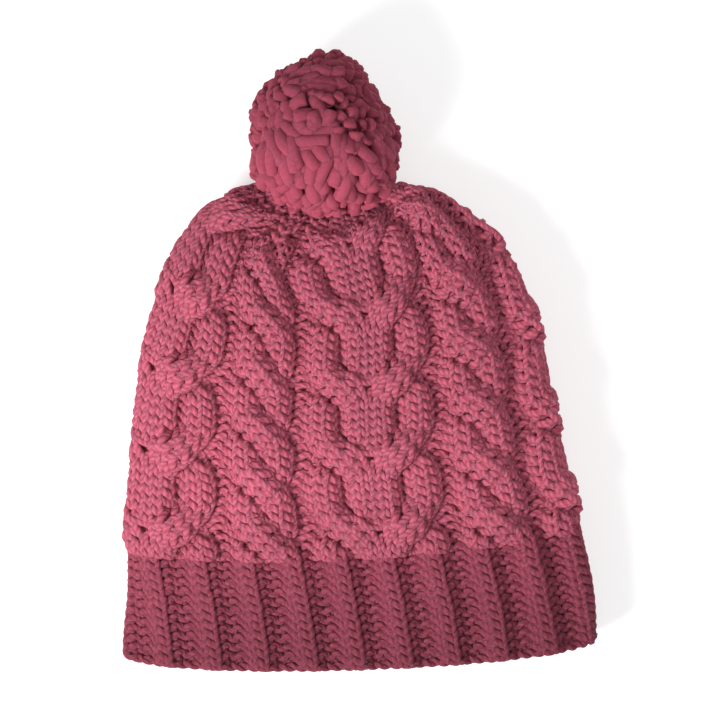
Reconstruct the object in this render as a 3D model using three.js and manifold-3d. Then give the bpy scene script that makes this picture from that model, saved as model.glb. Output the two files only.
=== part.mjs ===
import * as THREE from "three";
import Module from "manifold-3d";

// A cable-knit bobble hat that lies on its back, in mm: X across, +Y from mouth to bobble, +Z up.
const wasm = await Module();
wasm.setup();

// Sizes of the lying hat
const brimWidth = 237;
const bodyLength = 239;
const lyingHeight = 50;
const fabricThickness = 4;
const pompomWidth = 81;
const seamGap = 0.3;
const hemBead = 1.5;

// Relief above the purl gutters
const ribRise = 4.2;
const strandRise = 5;
const crossingRise = 2.8;
const backPress = 0.55;
const sidePress = 0.9;
const restSink = 0.8;

// Stitch chart: rows count up from the cast-on edge, stitches run right from the front horseshoe
const stitchesRound = 80;
const stitchesRepeat = 20;
const stitchesRib = 4;
const ribRows = 13;
const poleRow = 55;
const firstCrossing = 15.3;
const ropeOffset = -0.6;
const ropeRows = 6;
const horseshoeRows = 8;
const crossingSpan = 5;
const strandStitches = 3;
const stitchToRow = 1.24;
const frontSqueeze = 0.06;
const topSpread = 0.2;

// Near the pole the ropes and the purl gutters draw together first, as shares of their width
const gatherFrom = 37;
const gatherTo = 47;
const ropeGather = 0.3;
const gutterGather = 0.65;

// The lying shape by row. along is a share of bodyLength; half, lift, tilt and drift are shares of
// half the brim's width; top and under are shares of lyingHeight; turn is in stitches.
const shape = [
  { row: 0, along: 0, half: 1, lift: 0.07, tilt: 0.032, drift: 0.004, top: 0.84, under: 0.05, turn: 3.7, relief: 1 },
  { row: 6.5, along: 0.125, half: 0.985, lift: 0.07, tilt: 0.04, drift: 0, top: 0.88, under: 0.05, turn: 3, relief: 1 },
  { row: 13, along: 0.25, half: 0.96, lift: 0.085, tilt: 0.05, drift: -0.023, top: 0.93, under: 0.05, turn: 2.5, relief: 1 },
  { row: 22.5, along: 0.43, half: 0.894, lift: 0.128, tilt: 0.055, drift: -0.055, top: 1, under: 0.05, turn: 2.3, relief: 1 },
  { row: 30.5, along: 0.575, half: 0.835, lift: 0.213, tilt: 0.068, drift: -0.073, top: 1, under: 0.05, turn: 2.5, relief: 1 },
  { row: 38.5, along: 0.721, half: 0.718, lift: 0.264, tilt: 0.068, drift: -0.106, top: 0.96, under: 0.06, turn: 3.3, relief: 1 },
  { row: 44.5, along: 0.825, half: 0.502, lift: 0.298, tilt: 0.055, drift: -0.175, top: 0.86, under: 0.1, turn: 4, relief: 0.9 },
  { row: 48, along: 0.882, half: 0.37, lift: 0.255, tilt: 0.025, drift: -0.165, top: 0.74, under: 0.17, turn: 4.2, relief: 0.8 },
  { row: 51.5, along: 0.941, half: 0.235, lift: 0.155, tilt: 0, drift: -0.14, top: 0.6, under: 0.27, turn: 4.2, relief: 0.5 },
  { row: 53.5, along: 0.975, half: 0.125, lift: 0.08, tilt: 0, drift: -0.13, top: 0.52, under: 0.34, turn: 4.2, relief: 0.2 },
  { row: 55, along: 1, half: 0, lift: 0, tilt: 0, drift: -0.123, top: 0.43, under: 0.43, turn: 4.2, relief: 0 },
];
const squareness = 2.7;
const edgeCurl = 0.96;

// Cubic track through one column of the table, straight beyond its ends.
function slopeAt(column, i) {
  const a = shape[Math.max(i - 1, 0)];
  const b = shape[Math.min(i + 1, shape.length - 1)];
  return (b[column] - a[column]) / (b.row - a.row);
}
function track(column, row) {
  if (row <= 0) return shape[0][column] + row * slopeAt(column, 0);
  let i = 0;
  while (i < shape.length - 2 && shape[i + 1].row <= row) i += 1;
  const span = shape[i + 1].row - shape[i].row;
  const t = (row - shape[i].row) / span;
  const t2 = t * t;
  const t3 = t2 * t;
  return (
    (2 * t3 - 3 * t2 + 1) * shape[i][column] +
    (t3 - 2 * t2 + t) * span * slopeAt(column, i) +
    (3 * t2 - 2 * t3) * shape[i + 1][column] +
    (t3 - t2) * span * slopeAt(column, i + 1)
  );
}

// The tube's outline at one row, finely divided, with its running length from the front centre.
const OUTLINE_STEPS = 240;
function outlineAt(row) {
  const halfBrim = brimWidth / 2;
  const half = Math.max(halfBrim * track("half", row), 0.01);
  const top = lyingHeight * track("top", row);
  const under = lyingHeight * track("under", row);
  const middle = (top + under) / 2;
  const thick = Math.max((top - under) / 2, 0.01);
  const points = [];
  const lengths = [0];
  for (let i = 0; i <= OUTLINE_STEPS; i += 1) {
    const angle = Math.PI / 2 - (2 * Math.PI * i) / OUTLINE_STEPS;
    const c = Math.sign(Math.cos(angle)) * Math.abs(Math.cos(angle)) ** (2 / squareness);
    const z = Math.sign(Math.sin(angle)) * Math.abs(Math.sin(angle)) ** (2 / squareness);
    const curl = (1 - Math.sqrt(1 - edgeCurl * c * c)) / (1 - Math.sqrt(1 - edgeCurl));
    points.push(
      new THREE.Vector3(
        halfBrim * track("drift", row) + half * c,
        bodyLength * track("along", row) + halfBrim * (track("lift", row) * curl + track("tilt", row) * c),
        middle + thick * z,
      ),
    );
    if (i > 0) lengths.push(lengths[i - 1] + points[i].distanceTo(points[i - 1]));
  }
  return { points, lengths };
}

// Place of a stitch around the round, in stitches, with the ropes and gutters drawn together near the pole.
function gathered(stitch, row) {
  const share = smooth((row - gatherFrom) / (gatherTo - gatherFrom));
  const gutter = 1 - gutterGather * share;
  const rope = 2 * strandStitches * (1 - ropeGather * share);
  const half = 2 * strandStitches;
  const knots = [
    [0, 0],
    [half, half],
    [half + 1, half + gutter],
    [stitchesRepeat - half - 1, half + gutter + rope],
    [stitchesRepeat - half, half + 2 * gutter + rope],
    [stitchesRepeat, 2 * (half + gutter) + rope],
  ];
  const within = stitch - stitchesRepeat * Math.floor(stitch / stitchesRepeat);
  const next = Math.max(knots.findIndex(([place]) => place >= within), 1);
  const [a, placeA] = knots[next - 1];
  const [b, placeB] = knots[next];
  const place = placeA + ((placeB - placeA) * (within - a)) / (b - a);
  return stitch - within + (place * stitchesRepeat) / (2 * (half + gutter) + rope);
}

// Points of one row at the given stitches, on the gutters' level.
function rowPoints(row, stitches) {
  const { points, lengths } = outlineAt(row);
  const round = lengths[OUTLINE_STEPS];
  const turn = track("turn", row);
  const upward = smooth((row - gatherFrom) / (gatherTo - gatherFrom));
  const squeeze = frontSqueeze - (frontSqueeze + topSpread) * upward;
  return stitches.map((stitch) => {
    const turned = (gathered(stitch, row) + turn) / stitchesRound;
    const squeezed = turned - (squeeze * Math.sin(2 * Math.PI * turned)) / (2 * Math.PI);
    const length = (squeezed - Math.floor(squeezed)) * round;
    let low = 0;
    let high = OUTLINE_STEPS;
    while (high - low > 1) {
      const mid = (low + high) >> 1;
      if (lengths[mid] <= length) low = mid;
      else high = mid;
    }
    const share = (length - lengths[low]) / (lengths[high] - lengths[low]);
    return points[low].clone().lerp(points[high], share);
  });
}

// Height of a rounded strand across its width, 1 on its crest.
function strandProfile(offset, halfWidth) {
  return Math.max(0, 1 - Math.abs(offset / halfWidth) ** 2.4);
}
function smooth(t) {
  const c = Math.min(Math.max(t, 0), 1);
  return c * c * (3 - 2 * c);
}

// Two strands change places about each crossing row: front runs from one to minus one, back the other way.
// A strand keeps its own width as it leans, so it covers more stitches of a row.
function crossing(row, first, period) {
  const phase = (row - first) / period;
  const u = Math.min(Math.max(((phase - Math.round(phase)) * period) / crossingSpan + 0.5, 0), 1);
  const t = smooth(u);
  const lean = Math.atan((stitchToRow * strandStitches * 6 * u * (1 - u)) / crossingSpan);
  return { swing: 1 - 2 * t, over: Math.sin(Math.PI * t), narrow: Math.cos(lean) };
}
function strandRelief(offset, place, lift, narrow) {
  const rise = strandRise + crossingRise * lift;
  return rise * strandProfile((offset - place) * narrow, strandStitches / 2 + 0.15);
}
function cableRelief(stitch, row) {
  const inRepeat = stitch - stitchesRepeat * Math.round(stitch / stitchesRepeat);
  const half = strandStitches / 2;
  if (Math.abs(inRepeat) < 2 * strandStitches + 0.5) {
    const { swing, over, narrow } = crossing(row, firstCrossing, horseshoeRows);
    const offset = Math.abs(inRepeat);
    const frontPlace = strandStitches - half * swing;
    const backPlace = strandStitches + half * swing;
    const joined = (place) => (offset < place && place < strandStitches ? place : offset);
    return Math.max(
      strandRelief(joined(frontPlace), frontPlace, over, narrow),
      strandRelief(joined(backPlace), backPlace, -over, narrow),
    );
  }
  const { swing, over, narrow } = crossing(row, firstCrossing + ropeOffset, ropeRows);
  const offset = inRepeat - (Math.sign(inRepeat) * stitchesRepeat) / 2;
  return Math.max(
    strandRelief(offset, half * swing, over, narrow),
    strandRelief(offset, -half * swing, -over, narrow),
  );
}
function ribRelief(stitch) {
  const offset = stitch - stitchesRib * Math.round(stitch / stitchesRib);
  return ribRise * strandProfile(offset, stitchesRib / 4 + 0.3);
}
function relief(stitch, row) {
  const blend = smooth((row - ribRows + 0.5) / 2);
  return track("relief", row) * ((1 - blend) * ribRelief(stitch) + blend * cableRelief(stitch, row));
}

// Points of one row moved along the surface's normal, with the relief if it is wanted.
function rowLoop(row, stitches, offset, withRelief) {
  const step = 0.3;
  const here = rowPoints(row, stitches);
  const below = rowPoints(row - step, stitches);
  const above = rowPoints(Math.min(row + step, poleRow - 0.05), stitches);
  const count = stitches.length;
  return here.map((point, i) => {
    const around = here[(i + 1) % count].clone().sub(here[(i + count - 1) % count]);
    const up = above[i].clone().sub(below[i]);
    const normal = around.cross(up).normalize();
    const press = 1 - (1 - backPress) * smooth(sidePress - 1.2 * normal.z);
    const rise = withRelief ? relief(stitches[i], row) * press : 0;
    const moved = point.clone().addScaledVector(normal, offset + rise);
    moved.rise = rise;
    return moved;
  });
}

// A closed solid through loops of equal count, with a point that closes each end. Each four-sided
// cell is split along the diagonal that runs level, so ridges stay whole.
function loft(loops, first, last) {
  const count = loops[0].length;
  const vertices = [...loops.flat(), first, last];
  const faces = [];
  const firstIndex = vertices.length - 2;
  const lastIndex = vertices.length - 1;
  const lastRow = (loops.length - 1) * count;
  for (let i = 0; i < count; i += 1) {
    const j = (i + 1) % count;
    for (let k = 0; k < loops.length - 1; k += 1) {
      const a = k * count + i;
      const b = k * count + j;
      const c = b + count;
      const d = a + count;
      const steps = [vertices[a].rise - vertices[c].rise, vertices[b].rise - vertices[d].rise];
      if (Math.abs(steps[0]) <= Math.abs(steps[1])) faces.push([a, b, c], [a, c, d]);
      else faces.push([a, b, d], [b, c, d]);
    }
    faces.push([firstIndex, j, i], [lastIndex, lastRow + i, lastRow + j]);
  }
  const made = new wasm.Manifold(
    new wasm.Mesh({
      numProp: 3,
      vertProperties: new Float32Array(vertices.flatMap((v) => [v.x, v.y, v.z])),
      triVerts: new Uint32Array(faces.flat()),
    }),
  );
  return made;
}
function middleOf(loop) {
  const sum = loop.reduce((total, point) => total.add(point), new THREE.Vector3());
  return sum.divideScalar(loop.length);
}
function range(from, to, step) {
  const count = Math.round((to - from) / step);
  return Array.from({ length: count }, (_, i) => from + i * step);
}

// Stitches sampled closely on the front and one by one on the back
const quarter = stitchesRound / 4;
const outerStitches = [...range(-quarter, quarter, 0.625), ...range(quarter, 3 * quarter, 1)];
const innerStitches = range(0, stitchesRound, 2.5);

// The outside from the cast-on edge to the gathered top, pressed flat where it lies on the floor
function hatOutside(grow) {
  const rows = [0, 0.5, 6.5, 12.3, 13.5, ...range(15, 48, 1.5), 48, 50, 52, 54];
  const loops = rows.map((row) => {
    const bead = row < 0.4 ? -hemBead : 0;
    const loop = rowLoop(row, outerStitches, grow + bead, true);
    loop.forEach((point) => {
      point.z = Math.max(point.z, restSink - grow);
    });
    return loop;
  });
  const pole = rowPoints(poleRow, [0])[0];
  const normal = new THREE.Vector3(0, 1, 0);
  return loft(loops, middleOf(loops[0]), pole.addScaledVector(normal, grow));
}
const lastHollowRow = 50;
function hatInside() {
  const rows = [-2, 6.5, 13, 20, 27, 34, 39, 43, 47, lastHollowRow];
  const loops = rows.map((row) => rowLoop(row, innerStitches, -fabricThickness, false));
  return loft(loops, middleOf(loops[0]), middleOf(loops[loops.length - 1]));
}

// A thin slice that follows the row where the ribbing ends
function seamSlice() {
  const rowHeight = (bodyLength * (track("along", ribRows + 1) - track("along", ribRows - 1))) / 2;
  const halfGap = seamGap / 2 / rowHeight;
  const reach = ribRise + strandRise + crossingRise;
  const middle = rowLoop(ribRows, innerStitches, reach, false);
  const shifted = (amount) =>
    middle.map((point) => {
      const moved = point.clone().setY(point.y + amount * rowHeight);
      moved.rise = 0;
      return moved;
    });
  const low = shifted(-halfGap);
  const high = shifted(halfGap);
  return loft([low, high], middleOf(low), middleOf(high));
}

const outside = hatOutside(0);
const shell = outside.subtract(hatInside()).subtract(seamSlice());
const shellParts = shell.decompose().sort((a, b) => a.boundingBox().min[1] - b.boundingBox().min[1]);
const brim = shellParts[0];
const crown = shellParts[shellParts.length - 1];

// Head of the bobble in locks: rounded lumps spread evenly over a ball
const lockCount = 90;
const lockDepth = 0.15;
const goldenTurn = Math.PI * (3 - Math.sqrt(5));
const lockTips = Array.from({ length: lockCount }, (_, i) => {
  const z = 1 - (2 * i + 1) / lockCount;
  const r = Math.sqrt(1 - z * z);
  return new THREE.Vector3(r * Math.cos(goldenTurn * i), z, r * Math.sin(goldenTurn * i));
});
const lockReach = Math.sqrt(4 / lockCount) * 0.95;

// The head's uneven outline as it lies: angle in degrees from +X towards +Y, share of its radius
const pompomOutline = [
  { angle: 0, share: 0.91 },
  { angle: 36, share: 0.84 },
  { angle: 75, share: 1 },
  { angle: 113, share: 0.92 },
  { angle: 160, share: 0.98 },
  { angle: 190, share: 0.95 },
  { angle: 220, share: 1.1 },
  { angle: 250, share: 1.08 },
  { angle: 310, share: 1.12 },
  { angle: 345, share: 0.98 },
  { angle: 360, share: 0.91 },
];
function outlineShare(v) {
  const flat = Math.hypot(v.x, v.y);
  const angle = ((Math.atan2(v.y, v.x) * 180) / Math.PI + 360) % 360;
  const next = pompomOutline.findIndex((point) => point.angle >= angle);
  const b = pompomOutline[Math.max(next, 1)];
  const a = pompomOutline[Math.max(next, 1) - 1];
  const share = a.share + ((b.share - a.share) * (angle - a.angle)) / (b.angle - a.angle);
  return 1 + (share - 1) * flat;
}
function pompomHead() {
  const radius = pompomWidth / 2;
  const ball = new THREE.IcosahedronGeometry(1, 8);
  const position = ball.getAttribute("position");
  const keys = new Map();
  const vertices = [];
  const faces = [];
  for (let i = 0; i < position.count; i += 1) {
    const v = new THREE.Vector3().fromBufferAttribute(position, i);
    const key = v.toArray().map((n) => Math.round(n * 1e4)).join();
    if (!keys.has(key)) {
      keys.set(key, vertices.length);
      const nearest = Math.min(...lockTips.map((tip) => tip.distanceTo(v)));
      const lump = Math.sqrt(Math.max(0, 1 - (nearest / (lockReach * 1.15)) ** 2));
      vertices.push(v.multiplyScalar(radius * outlineShare(v) * (1 - lockDepth * (1 - lump))));
    }
    faces.push(keys.get(key));
  }
  return new wasm.Manifold(
    new wasm.Mesh({
      numProp: 3,
      vertProperties: new Float32Array(vertices.flatMap((v) => [v.x, v.y, v.z])),
      triVerts: new Uint32Array(faces),
    }),
  );
}
const pole = rowPoints(poleRow, [0])[0];
const pompomPlace = [pole.x - pompomWidth * 0.03, pole.y + pompomWidth * 0.39, pompomWidth / 2 + restSink];
const seated = pompomHead().translate(pompomPlace).subtract(hatOutside(seamGap));
const pompom = seated.decompose().sort((a, b) => b.volume() - a.volume())[0];

// Meshes
const group = new THREE.Group();
function addMesh(name, solid, colour) {
  const made = solid.getMesh();
  const geometry = new THREE.BufferGeometry();
  geometry.setAttribute("position", new THREE.BufferAttribute(new Float32Array(made.vertProperties), 3));
  geometry.setIndex(new THREE.BufferAttribute(new Uint32Array(made.triVerts), 1));
  geometry.computeVertexNormals();
  const mesh = new THREE.Mesh(geometry, new THREE.MeshStandardMaterial({ color: colour, roughness: 0.9 }));
  mesh.name = name;
  group.add(mesh);
}
addMesh("ribbed_brim", brim, 0xa84a5f);
addMesh("cable_crown", crown, 0xb05568);
addMesh("pompom", pompom, 0xa04a62);

const box = new THREE.Box3().setFromObject(group);
const centre = box.getCenter(new THREE.Vector3());
group.children.forEach((mesh) => mesh.geometry.translate(-centre.x, -centre.y, -box.min.z));

export default group;
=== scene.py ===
import math

import bpy
import numpy as np
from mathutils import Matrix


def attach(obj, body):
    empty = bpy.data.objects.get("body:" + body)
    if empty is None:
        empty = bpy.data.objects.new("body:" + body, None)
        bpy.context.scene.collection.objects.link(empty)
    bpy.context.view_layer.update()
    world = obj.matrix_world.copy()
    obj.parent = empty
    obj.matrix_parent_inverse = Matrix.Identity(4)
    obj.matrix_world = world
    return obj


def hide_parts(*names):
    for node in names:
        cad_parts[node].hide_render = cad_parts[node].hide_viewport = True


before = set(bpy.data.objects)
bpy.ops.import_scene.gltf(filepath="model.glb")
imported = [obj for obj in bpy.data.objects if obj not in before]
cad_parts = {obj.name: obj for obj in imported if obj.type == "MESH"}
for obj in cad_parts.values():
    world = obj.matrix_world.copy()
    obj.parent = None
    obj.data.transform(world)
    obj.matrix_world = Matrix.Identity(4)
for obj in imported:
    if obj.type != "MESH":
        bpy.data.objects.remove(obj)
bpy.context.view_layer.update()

MM = 0.001
rng = np.random.default_rng(11)

# The camera looks straight down on the hat, through a long lens
PHOTO_WIDTH_MM = 364.0
CAMERA_HEIGHT_MM = 1500.0
FOCUS_HEIGHT_MM = 24.0
SENSOR_MM = 36.0
CAMERA_OFFSET_MM = 0.5
CAMERA_NEAR_M = 0.05
CAMERA_FAR_M = 20.0
bpy.context.scene.view_settings.view_transform = "Standard"
camera_data = bpy.data.cameras.new("photo_camera")
camera_data.sensor_width = SENSOR_MM
camera_data.lens = SENSOR_MM * (CAMERA_HEIGHT_MM - FOCUS_HEIGHT_MM) / PHOTO_WIDTH_MM
camera_data.clip_start = CAMERA_NEAR_M
camera_data.clip_end = CAMERA_FAR_M
camera = bpy.data.objects.new("photo_camera", camera_data)
camera.location = (CAMERA_OFFSET_MM * MM, 0.0, CAMERA_HEIGHT_MM * MM)
bpy.context.scene.collection.objects.link(camera)
bpy.context.scene.camera = camera

# Sizes of the lying hat in mm, as in the part's source
BRIM_WIDTH = 237.0
BODY_LENGTH = 239.0
LYING_HEIGHT = 50.0
POMPOM_WIDTH = 81.0
REST_SINK = 0.8
SQUARENESS = 2.7
EDGE_CURL = 0.96
FRONT_SQUEEZE = 0.06
TOP_SPREAD = 0.2
GATHER_FROM = 37
GATHER_TO = 47
ROPE_GATHER = 0.3
GUTTER_GATHER = 0.65

# Middle of the hat, measured from the middle of the mouth, and where it rests
OWN_CENTRE = np.array([0.0339, 154.4772, REST_SINK])

# Stitch chart: places in stitches around the hat, rows up from the cast-on edge
STITCHES = 80
REPEAT = 20
RIB = 4
RIB_ROWS = 13
POLE_ROW = 55
FIRST_CROSSING = 15.5
ROPE_ROWS = 6
HORSESHOE_ROWS = 8
STRAND = 3
ROPE_OFFSET = -0.6
WALE_TO_ROW = 1.24
LOW_BAND_TOP = 26
MIDDLE_BAND_TOP = 38
ROPE_DECREASE_ROW = 48
DECREASE_ROW = 50
SECOND_DECREASE_ROW = 52
LAST_ROUND = 54

# How high ribs and strands stand, in mm, and how round their sections are, in stitches from the middle
RIB_RISE = 4.6
RIB_MARGIN = 0.3
RIB_ROUNDING = 2.4
STRAND_RISE = 6.4
STRAND_MARGIN = 0.15
STRAND_ROUNDING = 2.3
TOP_ROUNDING = 0.6
CROSSING_RISE = 4.2
CROSSING_SHARE = 0.2
CROSSING_MARGIN = 0.45
CROSSING_ROUNDING = 4

# The strand in front at a crossing, in rows
FRONT_SPAN = 4.8
ROPE_SPAN = 4.3
FRONT_LAG = -0.1

# The strand behind: its wales dive one after the other and come out again as rounded tips
BACK_SPAN = 1.7
BACK_DEPTH = 1.1
DIVE_ROW = -1.5
DIVE_FAN = 0.5
DIVE_SPAN = 1.3
TIP_ROW = 0.8
TIP_FAN = 1.25
TIP_CURL = 0.45
TONGUE_CURL = 0.3
TIP_SPAN = 1.5
TIP_RISE = 0.7
TIP_RISE_FROM = 1
TIP_RISE_SPAN = 2.5

# The tongue, where the two middle strands of a horseshoe join
TONGUE_DRAW = 0.2
TONGUE_REACH = 0.6
TONGUE_SPAN = 1.2

# How far the borders of the cables sway, in stitches, and where the sway begins and ends
HORSESHOE_SWAY = 0.9
ROPE_SWAY = 0.45
SWAY_SWELL = 0.15
SWAY_FROM = 0.35
SWAY_EDGE = 0.1
SWAY_FADE = 1.6
SWAY_ROWS_IN = 2
SWAY_ROWS_OUT = 3
ROPE_SWAY_ROW = -0.3
ROPE_SWAY_SKEW = 0.6

# How much relief is pressed out of the back and the folded sides
BACK_PRESS = 0.55
SIDE_PRESS = 0.9
SIDE_PRESS_SLOPE = 1.2
SIDE_WIDTH = 0.5
SIDE_FLATTEN = 0.46
FOLD_SLOPE = 1.6
FOLD_START = 0.7

# One line for each row given: lengths and widths in shares of the named sizes, turn in stitches
SHAPE_COLUMNS = ("row", "along", "half", "lift", "tilt", "drift", "top", "under", "turn", "relief")
SHAPE_ROWS = (
    (0, 0, 1, 0.07, 0.032, 0.004, 0.84, 0.05, 3.7, 1),
    (6.5, 0.125, 0.985, 0.07, 0.04, 0, 0.88, 0.05, 3, 1),
    (13, 0.25, 0.96, 0.085, 0.05, -0.023, 0.93, 0.05, 2.5, 1),
    (22.5, 0.43, 0.894, 0.128, 0.055, -0.055, 1, 0.05, 2.3, 1),
    (30.5, 0.575, 0.835, 0.213, 0.068, -0.073, 1, 0.05, 2.5, 1),
    (38.5, 0.721, 0.718, 0.264, 0.068, -0.106, 0.96, 0.06, 3.3, 1),
    (44.5, 0.825, 0.502, 0.298, 0.055, -0.175, 0.86, 0.1, 4, 0.9),
    (48, 0.882, 0.37, 0.255, 0.025, -0.165, 0.74, 0.17, 4.2, 0.8),
    (51.5, 0.941, 0.235, 0.155, 0, -0.14, 0.6, 0.27, 4.2, 0.5),
    (53.5, 0.975, 0.125, 0.08, 0, -0.13, 0.52, 0.34, 4.2, 0.2),
    (55, 1, 0, 0, 0, -0.123, 0.43, 0.43, 4.2, 0),
)
SHAPE = {name: np.array(values, float) for name, values in zip(SHAPE_COLUMNS, zip(*SHAPE_ROWS))}


def smooth(t):
    """0 below 0, 1 above 1, and an even passage between."""
    c = np.clip(t, 0, 1)
    return c * c * (3 - 2 * c)


def track(column, rows):
    """Cubic track through one column of the table, straight below row 0."""
    x, y = SHAPE["row"], SHAPE[column]
    before = np.maximum(np.arange(len(x)) - 1, 0)
    after = np.minimum(np.arange(len(x)) + 1, len(x) - 1)
    slope = (y[after] - y[before]) / (x[after] - x[before])
    rows = np.asarray(rows, float)
    i = np.clip(np.searchsorted(x, rows, side="right") - 1, 0, len(x) - 2)
    span = x[i + 1] - x[i]
    t = (rows - x[i]) / span
    value = (
        (2 * t**3 - 3 * t**2 + 1) * y[i]
        + (t**3 - 2 * t**2 + t) * span * slope[i]
        + (3 * t**2 - 2 * t**3) * y[i + 1]
        + (t**3 - t**2) * span * slope[i + 1]
    )
    return np.where(rows <= 0, y[0] + rows * slope[0], value)


# The surface at the gutters' level, on a fine grid of rows and stitches
GRID_LOW_ROW = -2.0
GRID_ROW_STEP = 0.25
GRID_STITCH_STEP = 0.5
OUTLINE_STEPS = 360
LEAST_HALF_MM = 0.01


def outline(row):
    """Section of the lying hat at a row: points around it and the running length along them."""
    half = max(BRIM_WIDTH / 2 * float(track("half", row)), LEAST_HALF_MM)
    top = LYING_HEIGHT * float(track("top", row))
    under = LYING_HEIGHT * float(track("under", row))
    angle = math.pi / 2 - np.linspace(0, 2 * math.pi, OUTLINE_STEPS + 1)
    c = np.sign(np.cos(angle)) * np.abs(np.cos(angle)) ** (2 / SQUARENESS)
    z = np.sign(np.sin(angle)) * np.abs(np.sin(angle)) ** (2 / SQUARENESS)
    curl = (1 - np.sqrt(1 - EDGE_CURL * c * c)) / (1 - math.sqrt(1 - EDGE_CURL))
    x = BRIM_WIDTH / 2 * float(track("drift", row)) + half * c
    y = BODY_LENGTH * float(track("along", row)) + BRIM_WIDTH / 2 * (
        float(track("lift", row)) * curl + float(track("tilt", row)) * c
    )
    height = (top + under) / 2 + max((top - under) / 2, LEAST_HALF_MM) * z
    points = np.stack([x, y, height], axis=1)
    lengths = np.concatenate([[0], np.cumsum(np.linalg.norm(np.diff(points, axis=0), axis=1))])
    return points, lengths


def gathered(stitches, row):
    """Places of the stitches around a row: near the pole the gutters and ropes draw together first."""
    share = smooth((row - GATHER_FROM) / (GATHER_TO - GATHER_FROM))
    gutter = 1 - GUTTER_GATHER * share
    rope = STRAND * 2 * (1 - ROPE_GATHER * share)
    half = 2 * STRAND
    knots = (0, half, half + 1, REPEAT - half - 1, REPEAT - half, REPEAT)
    after_ropes = half + gutter + rope
    last = after_ropes + gutter
    places = np.array((0, half, half + gutter, after_ropes, last, last + half))
    within = np.interp(stitches % REPEAT, knots, places * REPEAT / places[-1])
    return stitches - stitches % REPEAT + within


def base_grid():
    """Points, outward normals and stitch widths, row by row and stitch by stitch."""
    rows = np.arange(GRID_LOW_ROW, POLE_ROW + 1e-6, GRID_ROW_STEP)
    stitches = np.arange(0, STITCHES, GRID_STITCH_STEP)
    grid = np.empty((len(rows), len(stitches), 3))
    for k, row in enumerate(rows):
        points, lengths = outline(row)
        turned = (gathered(stitches, row) + float(track("turn", row))) / STITCHES
        upward = smooth((row - GATHER_FROM) / (GATHER_TO - GATHER_FROM))
        squeeze = FRONT_SQUEEZE - (FRONT_SQUEEZE + TOP_SPREAD) * upward
        share = turned - squeeze * np.sin(2 * math.pi * turned) / (2 * math.pi)
        wanted = (share - np.floor(share)) * lengths[-1]
        grid[k] = np.stack([np.interp(wanted, lengths, points[:, a]) for a in range(3)], axis=1)
    around = np.roll(grid, -1, axis=1) - np.roll(grid, 1, axis=1)
    up = np.gradient(grid, axis=0)
    up[-1] = up[-2]
    around[-1] = around[-2]
    normal = np.cross(around, up)
    normal /= np.linalg.norm(normal, axis=2, keepdims=True)
    width = np.linalg.norm(around, axis=2) / (2 * GRID_STITCH_STEP)
    return grid, normal, width


GRID, NORMALS, WIDTHS = base_grid()


def sample(values, stitch, row):
    """Values of a grid between its rows and stitches."""
    k = np.clip((row - GRID_LOW_ROW) / GRID_ROW_STEP, 0, values.shape[0] - 1.001)
    j = (stitch % STITCHES) / GRID_STITCH_STEP
    k0, j0 = k.astype(int), j.astype(int) % values.shape[1]
    j1 = (j0 + 1) % values.shape[1]
    a, b = k - k0, j - np.floor(j)
    if values.ndim == 3:
        a, b = a[..., None], b[..., None]
    low = values[k0, j0] * (1 - b) + values[k0, j1] * b
    high = values[k0 + 1, j0] * (1 - b) + values[k0 + 1, j1] * b
    return low * (1 - a) + high * a


def spread_from(in_repeat, from_rope, horseshoe, rope):
    """Shift towards the centre of a cable, which leaves the purl gutters wider."""
    offset = np.where(horseshoe, in_repeat / (2 * STRAND), from_rope / STRAND)
    return np.where(horseshoe | rope, -offset, 0.0)


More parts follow.
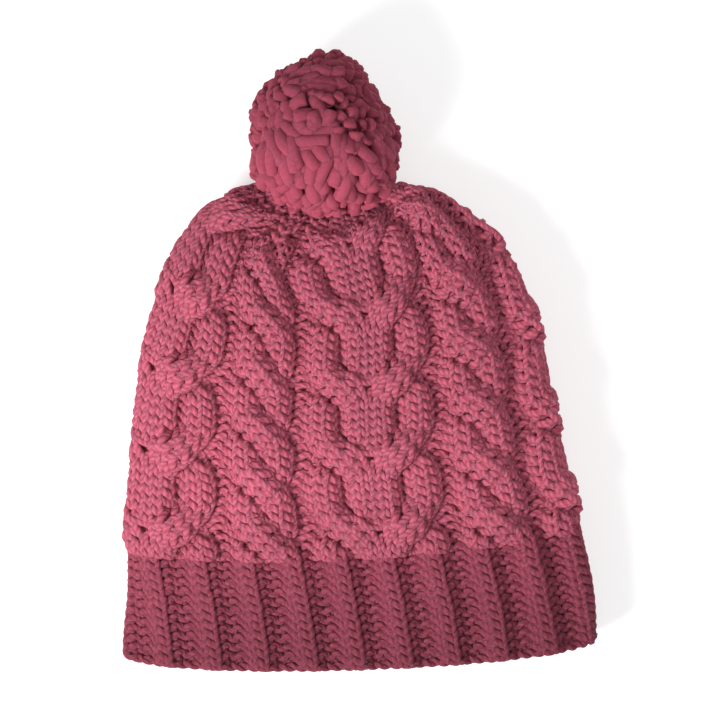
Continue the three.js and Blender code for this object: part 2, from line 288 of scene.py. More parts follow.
def cable_state(needle, knit_row, row, across):
    """Place of a point of a stitch in its cable.

    needle is the stitch's place on the needle, knit_row the round it belongs to, row the height of
    the point along the strand and across its distance from the stitch's middle, in stitches. Gives
    the shift in stitches, the shift in rows, the rise in mm, how far the loop is stretched, and
    whether the stitch is in a cable. A crossing strand turns with its own path, so its rows tilt."""
    centre = needle + 0.5
    in_repeat = centre - REPEAT * np.round(centre / REPEAT)
    horseshoe = np.abs(in_repeat) < 2 * STRAND
    from_rope = in_repeat - np.sign(in_repeat) * REPEAT / 2
    rope = np.abs(from_rope) < STRAND
    in_cable = horseshoe | rope
    in_half = np.where(in_repeat < 0, in_repeat + 2 * STRAND, in_repeat)
    local = np.where(horseshoe, in_half, from_rope + STRAND)
    place = np.clip(np.floor(local).astype(int), 0, 2 * STRAND - 1)
    period = np.where(horseshoe, HORSESHOE_ROWS, ROPE_ROWS)
    first = FIRST_CROSSING + np.where(horseshoe, 0.0, ROPE_OFFSET)
    cross = first + period * np.round((knit_row - first) / period)
    swapped = (place + STRAND) % (2 * STRAND)
    old = np.where(knit_row < cross, place, swapped)
    new = np.where(knit_row < cross, swapped, place)
    way = np.sign(new - old)
    in_front = (way < 0) == ~(horseshoe & (in_repeat > 0))
    wale = place % STRAND - (STRAND - 1) / 2
    offset = wale + across
    base = old // STRAND * STRAND + STRAND / 2

    # In front: the whole strand leans over together
    span = np.where(horseshoe, FRONT_SPAN, ROPE_SPAN)
    u = np.clip((row - cross - FRONT_LAG) / span + 0.5, 0, 1)
    t = smooth(u)
    lean = np.arctan(WALE_TO_ROW * STRAND * way * 6 * u * (1 - u) / span)
    front_middle = base + STRAND * way * t
    front_shift = front_middle + offset * np.cos(lean) - (place + 0.5 + across)
    front_lift = -WALE_TO_ROW * offset * np.sin(lean)

    # Behind: one wale after the other slips under the front strand and comes out on its far side
    lead = way * wale
    dive = cross + DIVE_ROW - DIVE_FAN * lead
    curl = np.where(horseshoe, TONGUE_CURL, TIP_CURL)
    tip = cross + TIP_ROW - TIP_FAN * lead + curl * np.maximum(lead, 0)
    back_t = smooth((row - (dive + tip) / 2) / BACK_SPAN + 0.5)
    out = smooth((row - tip) / TIP_SPAN + 0.5)
    hidden = smooth((row - dive) / DIVE_SPAN + 0.5) * (1 - out)
    back_middle = base + STRAND * way * back_t
    back_shift = back_middle + offset - (place + 0.5 + across)

    middle = np.where(in_front, front_middle, back_middle)
    shift = np.where(in_front, front_shift, back_shift)
    lift = np.where(in_front, front_lift, 0)

    # Sections of the strands, and the tongue between the two inner ones of a horseshoe
    profile = np.maximum(0, 1 - np.abs(offset / (STRAND / 2 + STRAND_MARGIN)) ** STRAND_ROUNDING)
    side = np.where(in_repeat > 0, 1, -1)
    from_middle = np.where(in_repeat < 0, middle - 2 * STRAND, middle) * side
    joined = np.where(horseshoe, smooth((STRAND + TONGUE_REACH - from_middle) / TONGUE_SPAN), 0)
    joined_profile = np.where(offset * side < 0, 1, profile)
    profile = profile + (joined_profile - profile) * joined
    wide = np.abs(offset / (STRAND / 2 + CROSSING_MARGIN)) ** CROSSING_ROUNDING
    wide_profile = np.maximum(0, 1 - wide)
    over = np.sin(math.pi * t)
    front_profile = profile + np.maximum(wide_profile - profile, 0) * CROSSING_SHARE * over
    front_rise = (STRAND_RISE + CROSSING_RISE * over) * front_profile
    plump = TIP_RISE * out * (1 - smooth((row - tip - TIP_RISE_FROM) / TIP_RISE_SPAN))
    back_rise = (STRAND_RISE + plump) * profile * (1 - BACK_DEPTH * hidden)
    rise = np.where(in_front, front_rise, back_rise)
    shift = shift - TONGUE_DRAW * joined * (in_repeat + across + shift)
    spread = PURL_SPREAD * spread_from(in_repeat, from_rope, horseshoe, rope)
    shift = np.where(in_cable, shift, 0) + spread
    stretch = np.where(in_cable & in_front, np.sin(lean) ** 2, 0)
    return shift, np.where(in_cable, lift, 0), np.where(in_cable, rise, 0), stretch, in_cable


def swayed(stitch, row):
    """Stitches drawn to a cable's middle where its strands cross, which makes its borders wavy."""
    in_repeat = stitch - REPEAT * np.round(stitch / REPEAT)
    from_rope = in_repeat - np.sign(in_repeat) * REPEAT / 2
    rope_crossing = FIRST_CROSSING + ROPE_OFFSET + ROPE_SWAY_ROW - ROPE_SWAY_SKEW * np.sign(from_rope)
    cables = (
        (in_repeat, 2 * STRAND, HORSESHOE_ROWS, FIRST_CROSSING, HORSESHOE_SWAY),
        (from_rope, STRAND, ROPE_ROWS, rope_crossing, ROPE_SWAY),
    )
    drawn = 0
    for offset, half, period, crossing, sway in cables:
        wave = (0.5 + 0.5 * np.cos(2 * math.pi * (row - crossing) / period)) ** 2 - SWAY_SWELL
        far = np.abs(offset)
        outward = smooth((far / half - SWAY_FROM) / (1 - SWAY_FROM))
        near = outward * (1 - smooth((far - half - SWAY_EDGE) / SWAY_FADE))
        drawn = drawn + sway * wave * near * np.sign(offset)
    above_ribs = smooth((row - RIB_ROWS) / SWAY_ROWS_IN)
    below_top = 1 - smooth((row - GATHER_TO) / SWAY_ROWS_OUT)
    return stitch - drawn * above_ribs * below_top


def top_state(pair):
    """Height and face of two stitches knitted together near the pole, where the cables run out."""
    middle = pair + 1
    in_repeat = middle - REPEAT * np.round(middle / REPEAT)
    from_rope = np.abs(in_repeat) - REPEAT / 2
    half = np.where(np.abs(in_repeat) < 2 * STRAND, 2 * STRAND, STRAND - 1)
    offset = np.where(np.abs(in_repeat) < 2 * STRAND, in_repeat, from_rope)
    knit = np.abs(offset) < half
    return knit, np.where(knit, STRAND_RISE * (1 - TOP_ROUNDING * np.abs(offset / half) ** 2), 0)


def rib_state(needle, across):
    """Face, rise in mm and shift in stitches of a point of a stitch in the ribbing."""
    centre = needle + 0.5
    offset = centre - RIB * np.round(centre / RIB)
    knit = np.abs(offset) < RIB / 4
    from_crest = offset + across - RIB_CREST
    rise = RIB_RISE * np.maximum(0, 1 - np.abs(from_crest / (RIB / 4 + RIB_MARGIN)) ** RIB_ROUNDING)
    to_centre = np.where(knit, -offset, np.sign(offset) * (np.abs(offset) - RIB / 2))
    return knit, rise, RIB_DRAW * to_centre


# Yarn: sizes in mm, reach and bulge of a loop in rows and stitches, the rest in shares
YARN_RADIUS = 1.7
STITCH_WIDTH = 5.4
THINNEST = 0.62
THICKEST = 1.04
LOOP_NOISE = 0.03
YARN_NOISE = 0.04
LOOP_REACH = 0.73
RIGHT_REACH = 0.12
LEFT_BULGE = 0.35
RIGHT_BULGE = 0.38
LOOP_DEPTH = 0.85
LOOP_LEAN = 0.45
LOOP_HOLD = 0.35
LEFT_PLUMP = 0.22
CROSSING_PLUMP = 0.3
RIGHT_SLIM = 0.06
PURL_SINK = 0.3
PURL_HEAD = 0.45
PURL_BULGE = 0.24
PURL_SPREAD = 0.15
RIB_DRAW = 0.16
RIB_CREST = 0.3
NEIGHBOUR_REACH = 0.22
TUBE_SIDES = 6
FRONT_POINTS = 18
BACK_POINTS = 12
FRONT_TURN = 2.4
FRONT_END = 23
FRONT_START = 57


def press_at(normal):
    """Share of the relief that stays: less at the folded sides and on the back that the hat lies on."""
    side = np.exp(-((normal[:, 2] / SIDE_WIDTH) ** 2))
    pressed = smooth(SIDE_PRESS - SIDE_PRESS_SLOPE * normal[:, 2])
    return 1 - (1 - BACK_PRESS) * pressed - SIDE_FLATTEN * side


def neighbour_weights(inside):
    """Shares of the left neighbour, the stitch and the right one, so values pass smoothly between them."""
    left = 0.5 * (1 - smooth(inside / NEIGHBOUR_REACH))
    right = 0.5 * smooth((inside - 1 + NEIGHBOUR_REACH) / NEIGHBOUR_REACH)
    return left, 1 - left - right, right


def round_stitches(knit_row):
    """First needle place and width of each stitch of a round: near the pole, several are knitted to one."""
    places = np.arange(STITCHES)
    if knit_row >= SECOND_DECREASE_ROW:
        return places[::4], np.full(STITCHES // 4, 4)
    if knit_row >= DECREASE_ROW:
        return places[::2], np.full(STITCHES // 2, 2)
    widths = np.ones(STITCHES, int)
    if knit_row >= ROPE_DECREASE_ROW:
        in_rope = np.abs(places % REPEAT + 0.5 - REPEAT / 2) < STRAND
        widths[in_rope] = np.where(places[in_rope] % REPEAT % 2 == 1, 2, 0)
    return places[widths > 0], widths[widths > 0]


# Stitch, row and level of every yarn point, which the inner surface follows
yarn_levels = []


def yarn_round(knit_row):
    """Centre line of one round of stitches: points, normals, yarn radius."""
    starts, widths = round_stitches(knit_row)
    count = len(starts)
    needles, insides = [], []
    for n in range(count):
        facing = (starts[n] + widths[n] / 2 + FRONT_TURN) % STITCHES
        in_front = facing < FRONT_END or facing > FRONT_START
        points = FRONT_POINTS if in_front else BACK_POINTS
        needles.append(np.full(points, n))
        insides.append(np.arange(points) / points)
    needle = np.concatenate(needles)
    inside = np.concatenate(insides)
    noise = rng.normal(0, 1, (4, count))
    turn = 2 * math.pi * inside
    on_right = inside > 0.5
    reach = LOOP_REACH - RIGHT_REACH * np.sin(turn)
    height = -reach * np.cos(turn) * (1 + LOOP_NOISE * noise[0][needle])
    along = knit_row + height + LOOP_NOISE * noise[1][needle]

    def place_of(face):
        """Distance from the stitch's middle, in stitches, of a knit or purl loop."""
        knitness = np.clip(face, 0, 1)
        knit_bulge = np.where(on_right, RIGHT_BULGE, LEFT_BULGE)
        bulge = knit_bulge * knitness + PURL_BULGE * (1 - knitness)
        return inside + bulge * np.sin(2 * turn) - LOOP_LEAN * knitness * height - 0.5

    def stitch_state(step, across):
        """Shift, lift, rise, stretch and face of the stitch itself or of a neighbour."""
        n = (needle + step) % count
        first = starts[n]
        zero = np.zeros_like(inside)
        if knit_row >= SECOND_DECREASE_ROW:
            return zero, zero, zero + 0.5 * STRAND_RISE, zero, zero + 1
        if knit_row < RIB_ROWS:
            knit, rise, shift = rib_state(first, across - step)
            return shift, zero, rise, zero, np.where(knit, 1.0, -1.0)
        *single, in_cable = cable_state(first, knit_row, along, across - step)
        knit, rise = top_state(first)
        pair = widths[n] > 1
        merged = (zero, zero, rise, zero)
        state = [np.where(pair, a, b) for a, b in zip(merged, single)]
        return *state, np.where(np.where(pair, knit, in_cable), 1.0, -1.0)

    weights = neighbour_weights(inside)
    face = sum(w * stitch_state(step, inside - 0.5)[-1] for w, step in zip(weights, (-1, 0, 1)))
    across = place_of(face)
    states = [stitch_state(step, across) for step in (-1, 0, 1)]
    shift, lift, rise, stretch = (sum(w * s[i] for w, s in zip(weights, states)) for i in range(4))
    knitness = np.clip(face, 0, 1)
    row = along + lift
    width = widths[needle]
    place = 0.5 + across + LOOP_NOISE * noise[2][needle]
    stitch = swayed(starts[needle] + place * width + shift, row)
    relief_share = track("relief", np.full_like(row, knit_row))
    base = sample(GRID, stitch, row)
    normal = sample(NORMALS, stitch, row)
    normal /= np.linalg.norm(normal, axis=1, keepdims=True)
    local_width = sample(WIDTHS, stitch, row) * width
    thick = np.clip(local_width / STITCH_WIDTH, THINNEST, THICKEST)
    press = press_at(normal)
    away_from_fold = smooth(FOLD_SLOPE * normal[:, 2] - FOLD_START)
    rise = np.minimum(rise, STRAND_RISE + CROSSING_RISE * away_from_fold)
    radius = YARN_RADIUS * thick * (1 + YARN_NOISE * noise[3][needle])
    wave = -np.cos(2 * turn)
    held = np.where(on_right & (wave > 0), np.maximum(wave, 0) ** LOOP_HOLD, wave)
    knit_depth = held * knitness
    purl_depth = (-wave - PURL_HEAD * np.cos(turn)) * np.clip(-face, 0, 1)
    depth = LOOP_DEPTH * thick * (knit_depth + purl_depth)
    leg = np.sin(turn) ** 2 * knitness
    leg_plump = np.where(on_right, -RIGHT_SLIM, LEFT_PLUMP)
    radius = radius * (1 + leg * leg_plump + CROSSING_PLUMP * stretch)
    level = relief_share * rise * press - radius - LOOP_DEPTH * thick
    level = level - PURL_SINK * np.clip(-face, 0, 1) * press
    points = base + normal * (level + depth)[:, None]
    yarn_levels.append(np.stack([stitch, row, level + depth], axis=1))
    return points, normal, radius


def tube(points, normal, radius, closed, sides=TUBE_SIDES):
    """Rings around a path and the running length along it."""
    if closed:
        along = np.roll(points, -1, axis=0) - np.roll(points, 1, axis=0)
    else:
        along = np.gradient(points, axis=0)
    along /= np.linalg.norm(along, axis=1, keepdims=True) + 1e-9
    side = np.cross(along, normal)
    side /= np.linalg.norm(side, axis=1, keepdims=True) + 1e-9
    out = np.cross(side, along)
    angle = 2 * math.pi * np.arange(sides) / sides
    ring = side[:, None] * np.cos(angle)[None, :, None] + out[:, None] * np.sin(angle)[None, :, None]
    rings = points[:, None] + ring * radius[:, None, None]
    step = np.linalg.norm(np.roll(points, -1, axis=0) - points, axis=1)
    length = np.concatenate([[0], np.cumsum(step)])
    return rings, length


LOWEST_MM = 0.05


class MeshParts:
    """Gathers tubes and makes one mesh of them.

    The UV map has the length along the yarn in mm and the share around it. The attribute shade gives each
    tube a random number of its own, which no material here reads."""

    def __init__(self):
        self.vertices, self.faces, self.uvs, self.shades = [], [], [], []
        self.count = 0

    def add_tube(self, rings, length, closed, shade):
        n, sides = rings.shape[:2]
        self.vertices.append(rings.reshape(-1, 3))
        last = n if closed else n - 1
        i = np.repeat(np.arange(last), sides)
        s = np.tile(np.arange(sides), last)
        i2, s2 = (i + 1) % n, (s + 1) % sides
        quads = np.stack([i * sides + s, i * sides + s2, i2 * sides + s2, i2 * sides + s], axis=1)
        u0, u1 = length[i], length[i + 1]
        v0, v1 = s / sides, (s + 1) / sides
        corners = ((u0, v0), (u0, v1), (u1, v1), (u1, v0))
        uv = np.stack([np.stack(corner, axis=1) for corner in corners], axis=1)
        self.faces.append(quads + self.count)
        self.uvs.append(uv.reshape(-1, 2))
        self.shades.append(np.full(n * sides, shade))
        self.count += n * sides

    def build(self, name):
        vertices = np.concatenate(self.vertices) - OWN_CENTRE
        vertices[:, 2] = np.maximum(vertices[:, 2], LOWEST_MM)
        faces = np.concatenate(self.faces)
        mesh = bpy.data.meshes.new(name)
        mesh.vertices.add(len(vertices))
        mesh.vertices.foreach_set("co", (vertices * MM).astype(np.float32).ravel())
        mesh.loops.add(faces.size)
        mesh.loops.foreach_set("vertex_index", faces.ravel().astype(np.int32))
        mesh.polygons.add(len(faces))
        mesh.polygons.foreach_set("loop_start", (np.arange(len(faces)) * 4).astype(np.int32))
        mesh.polygons.foreach_set("use_smooth", np.ones(len(faces), bool))
        layer = mesh.uv_layers.new(name="yarn")
        layer.data.foreach_set("uv", np.concatenate(self.uvs).astype(np.float32).ravel())
        shade = mesh.attributes.new("shade", "FLOAT", "POINT")
        shade.data.foreach_set("value", np.concatenate(self.shades).astype(np.float32))
        mesh.update(calc_edges=True)
        made = bpy.data.objects.new(name, mesh)
        bpy.context.scene.collection.objects.link(made)
        return made


def knit_band(name, first, last):
    """One mesh of the rounds from first up to, but not with, last."""
    parts = MeshParts()
    for knit_row in range(first, last):
        points, normal, radius = yarn_round(knit_row)
        rings, length = tube(points, normal, radius, True)
        parts.add_tube(rings, length, True, rng.normal(0, 1))
    return parts.build(name)


knit_pieces = [
    (knit_band("brim_knit", 1, RIB_ROWS), "ribbed_brim", "brim_wool"),
    (knit_band("crown_knit_low", RIB_ROWS, LOW_BAND_TOP), "cable_crown", "crown_wool"),
    (knit_band("crown_knit_middle", LOW_BAND_TOP, MIDDLE_BAND_TOP), "cable_crown", "crown_wool"),
    (knit_band("crown_knit_top", MIDDLE_BAND_TOP, LAST_ROUND), "cable_crown", "crown_wool"),
]


# Cast-on edge: two strands of yarn twisted into a cord around the mouth
CORD_ROW = 0.3
CORD_RADIUS = 1.15
CORD_YARN = 1.4
CORD_PITCH = 2.0
CORD_DEPTH = 1.2
CORD_RIB_SHARE = 0.25
CORD_POINTS = 10


def cast_on_edge():
    """Cord of two twisted strands, which follows the ribs a little."""
    parts = MeshParts()
    steps = STITCHES * CORD_POINTS
    stitch = np.arange(steps) * STITCHES / steps
    row = np.full(steps, CORD_ROW)
    normal = sample(NORMALS, stitch, row)
    normal /= np.linalg.norm(normal, axis=1, keepdims=True)
    ribs = rib_state(np.floor(stitch), stitch - np.floor(stitch) - 0.5)[1]
    level = -CORD_RADIUS - CORD_DEPTH + CORD_RIB_SHARE * ribs
    centre = sample(GRID, stitch, row) + normal * level[:, None]
    along = np.roll(centre, -1, axis=0) - np.roll(centre, 1, axis=0)
    along /= np.linalg.norm(along, axis=1, keepdims=True)
    side = np.cross(along, normal)
    for strand in range(2):
        angle = 2 * math.pi * (stitch / CORD_PITCH + strand / 2)
        points = centre + CORD_RADIUS * (normal * np.cos(angle)[:, None] + side * np.sin(angle)[:, None])
        rings, length = tube(points, normal, np.full(steps, CORD_YARN), True)
        parts.add_tube(rings, length, True, 0.0)
    return parts.build("cast_on_cord")


knit_pieces.append((cast_on_edge(), "ribbed_brim", "brim_wool"))


# Bobble: thick soft yarn ends from a tied middle, around a core. The yarn is in mm, the rest in shares
POMPOM_ENDS = 470
POMPOM_YARN = 3.5
POMPOM_YARN_RANGE = (0.9, 1.12)
POMPOM_REACH = 0.945
POMPOM_REACH_NOISE = 0.02
POMPOM_PLACE = (-0.03, 0.39)
POMPOM_PLACE_NOISE = 0.04
POMPOM_LEAN_NOISE = 0.12
POMPOM_TIE = 0.45
POMPOM_CAP = 0.88
POMPOM_CORE = 0.68
POMPOM_CORE_RINGS = 15
POMPOM_CORE_SIDES = 24
POMPOM_SIDES = 8
POMPOM_CLEAR = 0.2

# Angle from +X in degrees, share of the radius
POMPOM_OUTLINE = (
    (0, 0.91), (18, 0.83), (36, 0.81), (50, 0.85), (62, 0.91), (75, 1.0), (95, 0.97), (113, 0.91),
    (143, 0.93), (160, 0.97), (180, 0.95), (194, 0.94), (204, 1.02), (211, 1.15), (225, 1.15), (245, 1.12),
    (270, 1.14), (290, 1.16), (310, 1.18), (329, 1.1), (345, 1.0), (360, 0.93),
)

# Where yarn ends lie over on the front and hang at the foot, and how far, in shares of the ball's radius
LYING_FROM = -0.1
LYING_SPAN = 0.4
TOP_PLACE = (-0.08, 0.62)
TOP_WIDTH = (0.4, 0.2)
TOP_LEAN = np.array([0.62, -0.06, 0])
ARC_CENTRE = np.array([-0.27, 0.02])
ARC_RADIUS = 0.26
ARC_WIDTH = 0.17
ARC_TOP = 0.3
ARC_FADE = 0.2
ARC_LEAN = 0.6
HANGING_FROM = 0.1
HANGING_SPAN = 0.45
HANGING_SPREAD = 0.35
HANGING_DROP = -0.4

# How a yarn end runs out from the middle: where it bends, how soon it is at its height, how thick it is
BEND_FROM = 0.3
BEND_BALANCE = 0.6
FULL_LEAN = 0.6
EARLY_TOP = 0.4
UPRIGHT_INSET = 0.35
ROOT_THICKNESS = 0.6
ROOT_REACH = 0.5
TIP_THICKNESS = 0.003
POINTS_BELOW_CAP = (0, 0.22, 0.38, 0.5, 0.6, 0.7, 0.8)
POINTS_ON_CAP = (0, 0.45, 0.75, 0.93, 1)


def unit(v):
    return v / (np.linalg.norm(v, axis=-1, keepdims=True) + 1e-9)


def mound(value, place, width):
    """1 at the place, falling off to both sides over the width."""
    return math.exp(-(((value - place) / width) ** 2))


def yarn_end_lean(n):
    """How far and which way a yarn end lies over on the ball, in shares of its radius."""
    front = float(smooth((n[2] - LYING_FROM) / LYING_SPAN))
    lying_top = mound(n[0], TOP_PLACE[0], TOP_WIDTH[0]) * mound(n[1], TOP_PLACE[1], TOP_WIDTH[1])
    from_arc = n[:2] - ARC_CENTRE
    below_top = float(smooth((ARC_TOP - n[1]) / ARC_FADE))
    lying_arc = mound(np.linalg.norm(from_arc), ARC_RADIUS, ARC_WIDTH) * below_top
    hanging = float(smooth((-n[1] - HANGING_FROM) / HANGING_SPAN))
    lean = front * lying_top * TOP_LEAN
    lean = lean + front * lying_arc * ARC_LEAN * unit(np.array([-from_arc[1], from_arc[0], 0]))
    lean = lean + hanging * np.array([HANGING_SPREAD * n[0], HANGING_DROP, 0])
    return lean + rng.normal(0, POMPOM_LEAN_NOISE, 3)


def yarn_end(centre, n):
    """Path and radius of one yarn end that grows from the middle in direction n."""
    around = math.degrees(math.atan2(n[1], n[0])) % 360
    angles, shares = np.array(POMPOM_OUTLINE).T
    flat = math.hypot(n[0], n[1])
    share = np.interp(around, angles, shares) * flat + 1 - flat
    thick = POMPOM_YARN * rng.uniform(*POMPOM_YARN_RANGE)
    reach = POMPOM_REACH * POMPOM_WIDTH / 2 * share * (1 + rng.normal(0, POMPOM_REACH_NOISE))
    lean = yarn_end_lean(n)
    lean = lean - n * (lean @ n)
    on_cap = POMPOM_CAP + (1 - POMPOM_CAP) * np.array(POINTS_ON_CAP)
    t = np.concatenate([POINTS_BELOW_CAP, on_cap])
    over = smooth((t - BEND_FROM) / (1 - BEND_FROM))
    way = unit(n + lean * (over - BEND_BALANCE)[:, None])
    lying = min(1, np.linalg.norm(lean) / FULL_LEAN)
    top = reach - thick * (UPRIGHT_INSET + (1 - UPRIGHT_INSET) * lying)
    rising = np.sin(np.clip(t / (1 - EARLY_TOP * lying), 0, 1) * math.pi / 2)
    distance = top * (POMPOM_TIE + (1 - POMPOM_TIE) * rising)
    points = centre + way * distance[:, None]
    past_cap = np.maximum(t - POMPOM_CAP, 0) / (1 - POMPOM_CAP)
    cap = np.sqrt(np.clip(1 - past_cap**2, TIP_THICKNESS, 1))
    radius = thick * (ROOT_THICKNESS + (1 - ROOT_THICKNESS) * smooth(t / ROOT_REACH)) * cap
    points[:, 2] = np.maximum(points[:, 2], radius + POMPOM_CLEAR)
    return points, radius


def pompom_yarn():
    """A ball behind, and evenly spread yarn ends around it."""
    parts = MeshParts()
    pole = sample(GRID, np.array([0.0]), np.array([float(POLE_ROW)]))[0]
    centre = pole + np.array([*POMPOM_PLACE, 0]) * POMPOM_WIDTH
    centre[2] = POMPOM_WIDTH / 2 + REST_SINK
    turns = np.linspace(-math.pi / 2, math.pi / 2, POMPOM_CORE_RINGS)
    core_radius = POMPOM_CORE * POMPOM_WIDTH / 2
    core = centre + np.outer(np.sin(turns), [0, 0, core_radius])
    core_normal = np.tile([1.0, 0, 0], (POMPOM_CORE_RINGS, 1))
    rings, length = tube(core, core_normal, core_radius * np.cos(turns), False, POMPOM_CORE_SIDES)
    parts.add_tube(rings, length, False, 0.0)
    golden = math.pi * (3 - math.sqrt(5))
    for i in range(POMPOM_ENDS):
        z = 1 - (2 * i + 1) / POMPOM_ENDS
        flat = math.sqrt(1 - z * z)
        even = np.array([flat * math.cos(golden * i), flat * math.sin(golden * i), z])
        n = unit(even + rng.normal(0, POMPOM_PLACE_NOISE, 3))
        points, radius = yarn_end(centre, n)
        side = unit(np.cross(points[-1] - points[0], np.array([0.3, 0.2, 1.0])))
        rings, length = tube(points, np.tile(side, (len(points), 1)), radius, False, POMPOM_SIDES)
        parts.add_tube(rings, length, False, rng.normal(0, 1))
    return parts.build("pompom_yarn")


pompom = pompom_yarn()


# Wool
YARN_SHADER = {
    "Roughness": 0.85,
    "Specular IOR Level": 0.08,
    "Subsurface Radius": (1.0, 0.35, 0.4),
    "Subsurface Scale": 0.003,
    "Sheen Weight": 0.02,
    "Sheen Roughness": 0.5,
    "Sheen Tint": (1.0, 0.75, 0.8, 1),
}
PLY_WAVES_PER_MM = 0.34
PLIES = 3.0
PATCH_SCALE = 26.0
PATCH_RANGE = (0.86, 1.14)
FIBRE_DETAIL = 4.0
PATCH_DETAIL = 3.0
BUMP_STRENGTH = 0.55
BUMP_DISTANCE_M = 0.0005
TONE_FROM = (-0.4, 1.3)


def wool_material(name, colour, ply_shade_and_fibre, painted_light, ply_height=0.5, fibre_scale=1100.0, glow=0.45):
    """Plied yarn, with painted light and shade along the hat, given as two places along it in m and the
    brightness at each of them.
    """
    material = bpy.data.materials.new(name)
    material.use_nodes = True
    nodes, links = material.node_tree.nodes, material.node_tree.links
    shader = nodes["Principled BSDF"]
    for label, setting in YARN_SHADER.items():
        shader.inputs[label].default_value = setting
    shader.inputs["Subsurface Weight"].default_value = glow

    def math_node(operation, *sources):
        """Math node whose inputs are numbers or outputs of other nodes."""
        node = nodes.new("ShaderNodeMath")
        node.operation = operation
        for socket, given in zip(node.inputs, sources):
            if isinstance(given, float):
                socket.default_value = given
            else:
                links.new(given, socket)
        return node.outputs[0]

    def noise_node(scale, detail):
        node = nodes.new("ShaderNodeTexNoise")
        node.inputs["Scale"].default_value = scale
        node.inputs["Detail"].default_value = detail
        links.new(where.outputs["Object"], node.inputs["Vector"])
        return node.outputs["Fac"]

    def map_node(given, settings):
        node = nodes.new("ShaderNodeMapRange")
        for label, setting in settings.items():
            node.inputs[label].default_value = setting
        links.new(given, node.inputs["Value"])
        return node.outputs["Result"]

    # The plies wind around the yarn, with fibres on them
    uv = nodes.new("ShaderNodeUVMap")
    uv.uv_map = "yarn"
    on_yarn = nodes.new("ShaderNodeSeparateXYZ")
    links.new(uv.outputs["UV"], on_yarn.inputs["Vector"])
    along = math_node("MULTIPLY", on_yarn.outputs["X"], PLY_WAVES_PER_MM)
    around = math_node("MULTIPLY", on_yarn.outputs["Y"], PLIES)
    turns = math_node("ADD", along, around)
    ply = math_node("SINE", math_node("MULTIPLY", turns, 2 * math.pi))
    where = nodes.new("ShaderNodeTexCoord")
    fibre = noise_node(fibre_scale, FIBRE_DETAIL)
    height = math_node("MULTIPLY_ADD", ply, ply_height, fibre)
    bump = nodes.new("ShaderNodeBump")
    bump.inputs["Strength"].default_value = BUMP_STRENGTH
    bump.inputs["Distance"].default_value = BUMP_DISTANCE_M
    links.new(height, bump.inputs["Height"])
    links.new(bump.outputs["Normal"], shader.inputs["Normal"])

    # Colour: painted shade between the plies and darker fibres at random, uneven in patches, and painted
    # light and shade that make it brighter or darker along the hat
    mix = nodes.new("ShaderNodeMix")
    mix.data_type = "RGBA"
    mix.inputs["A"].default_value = (*ply_shade_and_fibre, 1)
    mix.inputs["B"].default_value = (*colour, 1)
    links.new(map_node(height, {"From Min": TONE_FROM[0], "From Max": TONE_FROM[1]}), mix.inputs["Factor"])
    patch = noise_node(PATCH_SCALE, PATCH_DETAIL)
    patchy = map_node(patch, {"To Min": PATCH_RANGE[0], "To Max": PATCH_RANGE[1]})
    # Painted light and shade along the hat, from the object's Y
    on_hat = nodes.new("ShaderNodeSeparateXYZ")
    links.new(where.outputs["Object"], on_hat.inputs["Vector"])
    labels = ("From Min", "From Max", "To Min", "To Max")
    painted_light_along_hat = map_node(on_hat.outputs["Y"], dict(zip(labels, painted_light)))
    value = nodes.new("ShaderNodeHueSaturation")
    links.new(math_node("MULTIPLY", patchy, painted_light_along_hat), value.inputs["Value"])
    links.new(mix.outputs["Result"], value.inputs["Color"])
    links.new(value.outputs["Color"], shader.inputs["Base Color"])
    return material


WOOL = (0.475, 0.111, 0.165)
# Painted shade between the plies, and the colour of darker fibres at random
WOOL_PLY_SHADE_AND_FIBRE = (0.24, 0.041, 0.067)
# The brim's yarn is the crown's yarn darkened as painted shade, between the plies as well
SHADED_BRIM_WOOL = (0.205, 0.042, 0.066)
SHADED_BRIM_PLY_SHADE_AND_FIBRE = (0.13, 0.022, 0.036)
# Painted shade and light along the brim: darker towards the mouth, brighter at its top
BRIM_PAINTED_LIGHT = (-0.15, -0.09, 0.9, 1.35)
# Painted shade along the crown: darker at its low edge next to the brim
CROWN_PAINTED_SHADE = (-0.097, -0.065, 0.84, 1)
POMPOM_WOOL = (0.3, 0.059, 0.094)
# Painted shade between the plies, and the colour of darker fibres at random
POMPOM_PLY_SHADE_AND_FIBRE = (0.2, 0.03, 0.052)
# Painted light and shade on the pompom: brighter at its foot, darker at its top
POMPOM_PAINTED_LIGHT = (0.08, 0.125, 1.2, 0.84)
POMPOM_PLY_HEIGHT = 0.08
POMPOM_FIBRE_SCALE = 700.0
POMPOM_GLOW = 0.6
crown_material = wool_material("crown_yarn", WOOL, WOOL_PLY_SHADE_AND_FIBRE, CROWN_PAINTED_SHADE)
# A copy of the crown's yarn, darkened as painted shade, for the brim
shaded_brim_material = wool_material("shaded_brim_yarn", SHADED_BRIM_WOOL, SHADED_BRIM_PLY_SHADE_AND_FIBRE, BRIM_PAINTED_LIGHT)
pompom_material = wool_material(
    "pompom_yarn",
    POMPOM_WOOL,
    POMPOM_PLY_SHADE_AND_FIBRE,
    POMPOM_PAINTED_LIGHT,
    POMPOM_PLY_HEIGHT,
    POMPOM_FIBRE_SCALE,
    POMPOM_GLOW,
)
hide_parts("pompom")
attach(pompom, "root")
pompom.data.materials.append(pompom_material)
for piece, node, slot in knit_pieces:
    piece.data.materials.append(shaded_brim_material if slot == "brim_wool" else crown_material)
    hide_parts(node)
    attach(piece, "root")


# Inner surface close behind the yarn, so no light shows between the stitches
BACKING_STEP = 0.5
BACKING_DEPTH = 2.2
BACKING_START = 2
BACKING_UV_MM = 3.0


def added_around(values):
    """Sum of each value and its eight neighbours, on a grid that closes around the hat."""
    wide = sum(np.roll(values, n, axis=1) for n in (-1, 0, 1))
    tall = np.pad(wide, ((1, 1), (0, 0)), mode="edge")
    return tall[:-2] + tall[1:-1] + tall[2:]


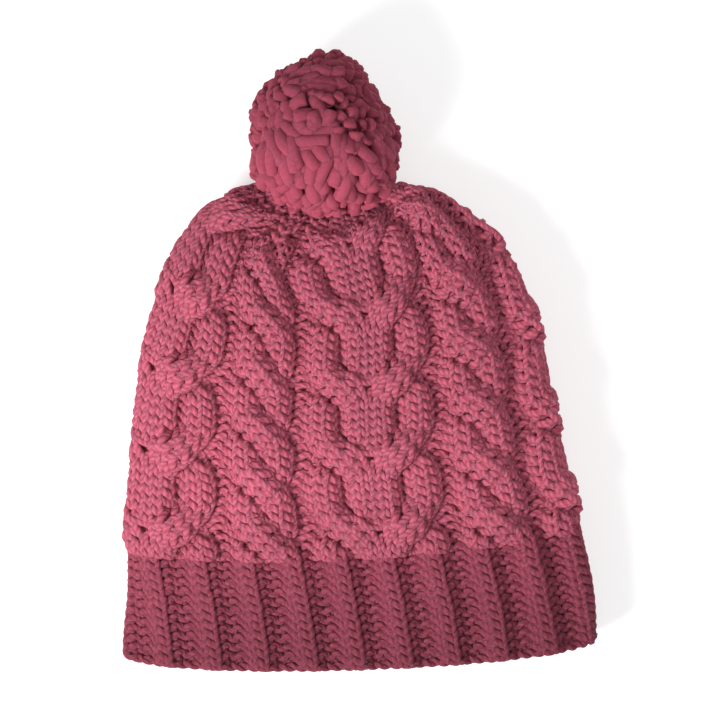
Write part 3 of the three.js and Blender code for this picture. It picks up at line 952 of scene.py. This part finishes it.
def outer_yarn_level():
    """Mean level of the outermost yarn near each half row and half stitch."""
    stitch, row, level = np.concatenate(yarn_levels).T
    shape = (int(POLE_ROW / BACKING_STEP), int(STITCHES / BACKING_STEP))
    top = np.full(shape, -np.inf)
    k = np.clip(np.round(row / BACKING_STEP).astype(int), 0, shape[0] - 1)
    j = np.round(stitch / BACKING_STEP).astype(int) % shape[1]
    np.maximum.at(top, (k, j), level)
    known = np.isfinite(top)
    total, count = np.where(known, top, 0), known.astype(float)
    mean = np.zeros(shape)
    known = np.zeros(shape, bool)
    while not known.all():
        total, count = added_around(total), added_around(count)
        mean = np.where(known, mean, total / np.maximum(count, 1))
        known = known | (count > 0)
    return mean


def backing():
    """The inner surface, from the row where it starts up to the pole."""
    level = outer_yarn_level()[BACKING_START:] - BACKING_DEPTH
    rows, stitches = (axis.ravel() * BACKING_STEP for axis in np.indices(level.shape))
    rows = rows + BACKING_START * BACKING_STEP
    points = sample(GRID, stitches, rows) + sample(NORMALS, stitches, rows) * level.ravel()[:, None]
    parts = MeshParts()
    running = np.arange(len(level) + 1) * BACKING_UV_MM
    parts.add_tube(points.reshape(*level.shape, 3), running, False, 0.0)
    return parts.build("inner_fabric")


inner = backing()
inner.data.materials.append(crown_material)
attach(inner, "root")

# Floor and light
FLOOR_SIZE_M = 6
FLOOR_TONE = 0.55
FLOOR_GLOW = 0.55
WORLD_LIGHT = 0.4
WHITE = (1, 1, 1, 1)
bpy.ops.mesh.primitive_plane_add(size=FLOOR_SIZE_M)
floor = bpy.context.object
floor.name = "floor"
floor_material = bpy.data.materials.new("pale_floor")
floor_material.use_nodes = True
floor_shader = floor_material.node_tree.nodes["Principled BSDF"]
floor_shader.inputs["Base Color"].default_value = (FLOOR_TONE, FLOOR_TONE, FLOOR_TONE, 1)
floor_shader.inputs["Roughness"].default_value = 0.9
floor_shader.inputs["Emission Color"].default_value = WHITE
floor_shader.inputs["Emission Strength"].default_value = FLOOR_GLOW
floor.data.materials.append(floor_material)

world = bpy.data.worlds.new("studio")
bpy.context.scene.world = world
world.use_nodes = True
background = world.node_tree.nodes["Background"]
background.inputs["Color"].default_value = WHITE
background.inputs["Strength"].default_value = WORLD_LIGHT


def area_light(name, place, size, power):
    """Square light that faces the hat, with place and size in m and power in W."""
    data = bpy.data.lights.new(name, "AREA")
    data.size = size
    data.energy = power
    light = bpy.data.objects.new(name, data)
    light.location = place
    light.rotation_euler = (-light.location).to_track_quat("-Z", "Y").to_euler()
    bpy.context.scene.collection.objects.link(light)


area_light("key", place=(-0.51, -0.4, 0.68), size=0.33, power=12)
area_light("fill", place=(0.5, 0.35, 1.65), size=1.6, power=12)
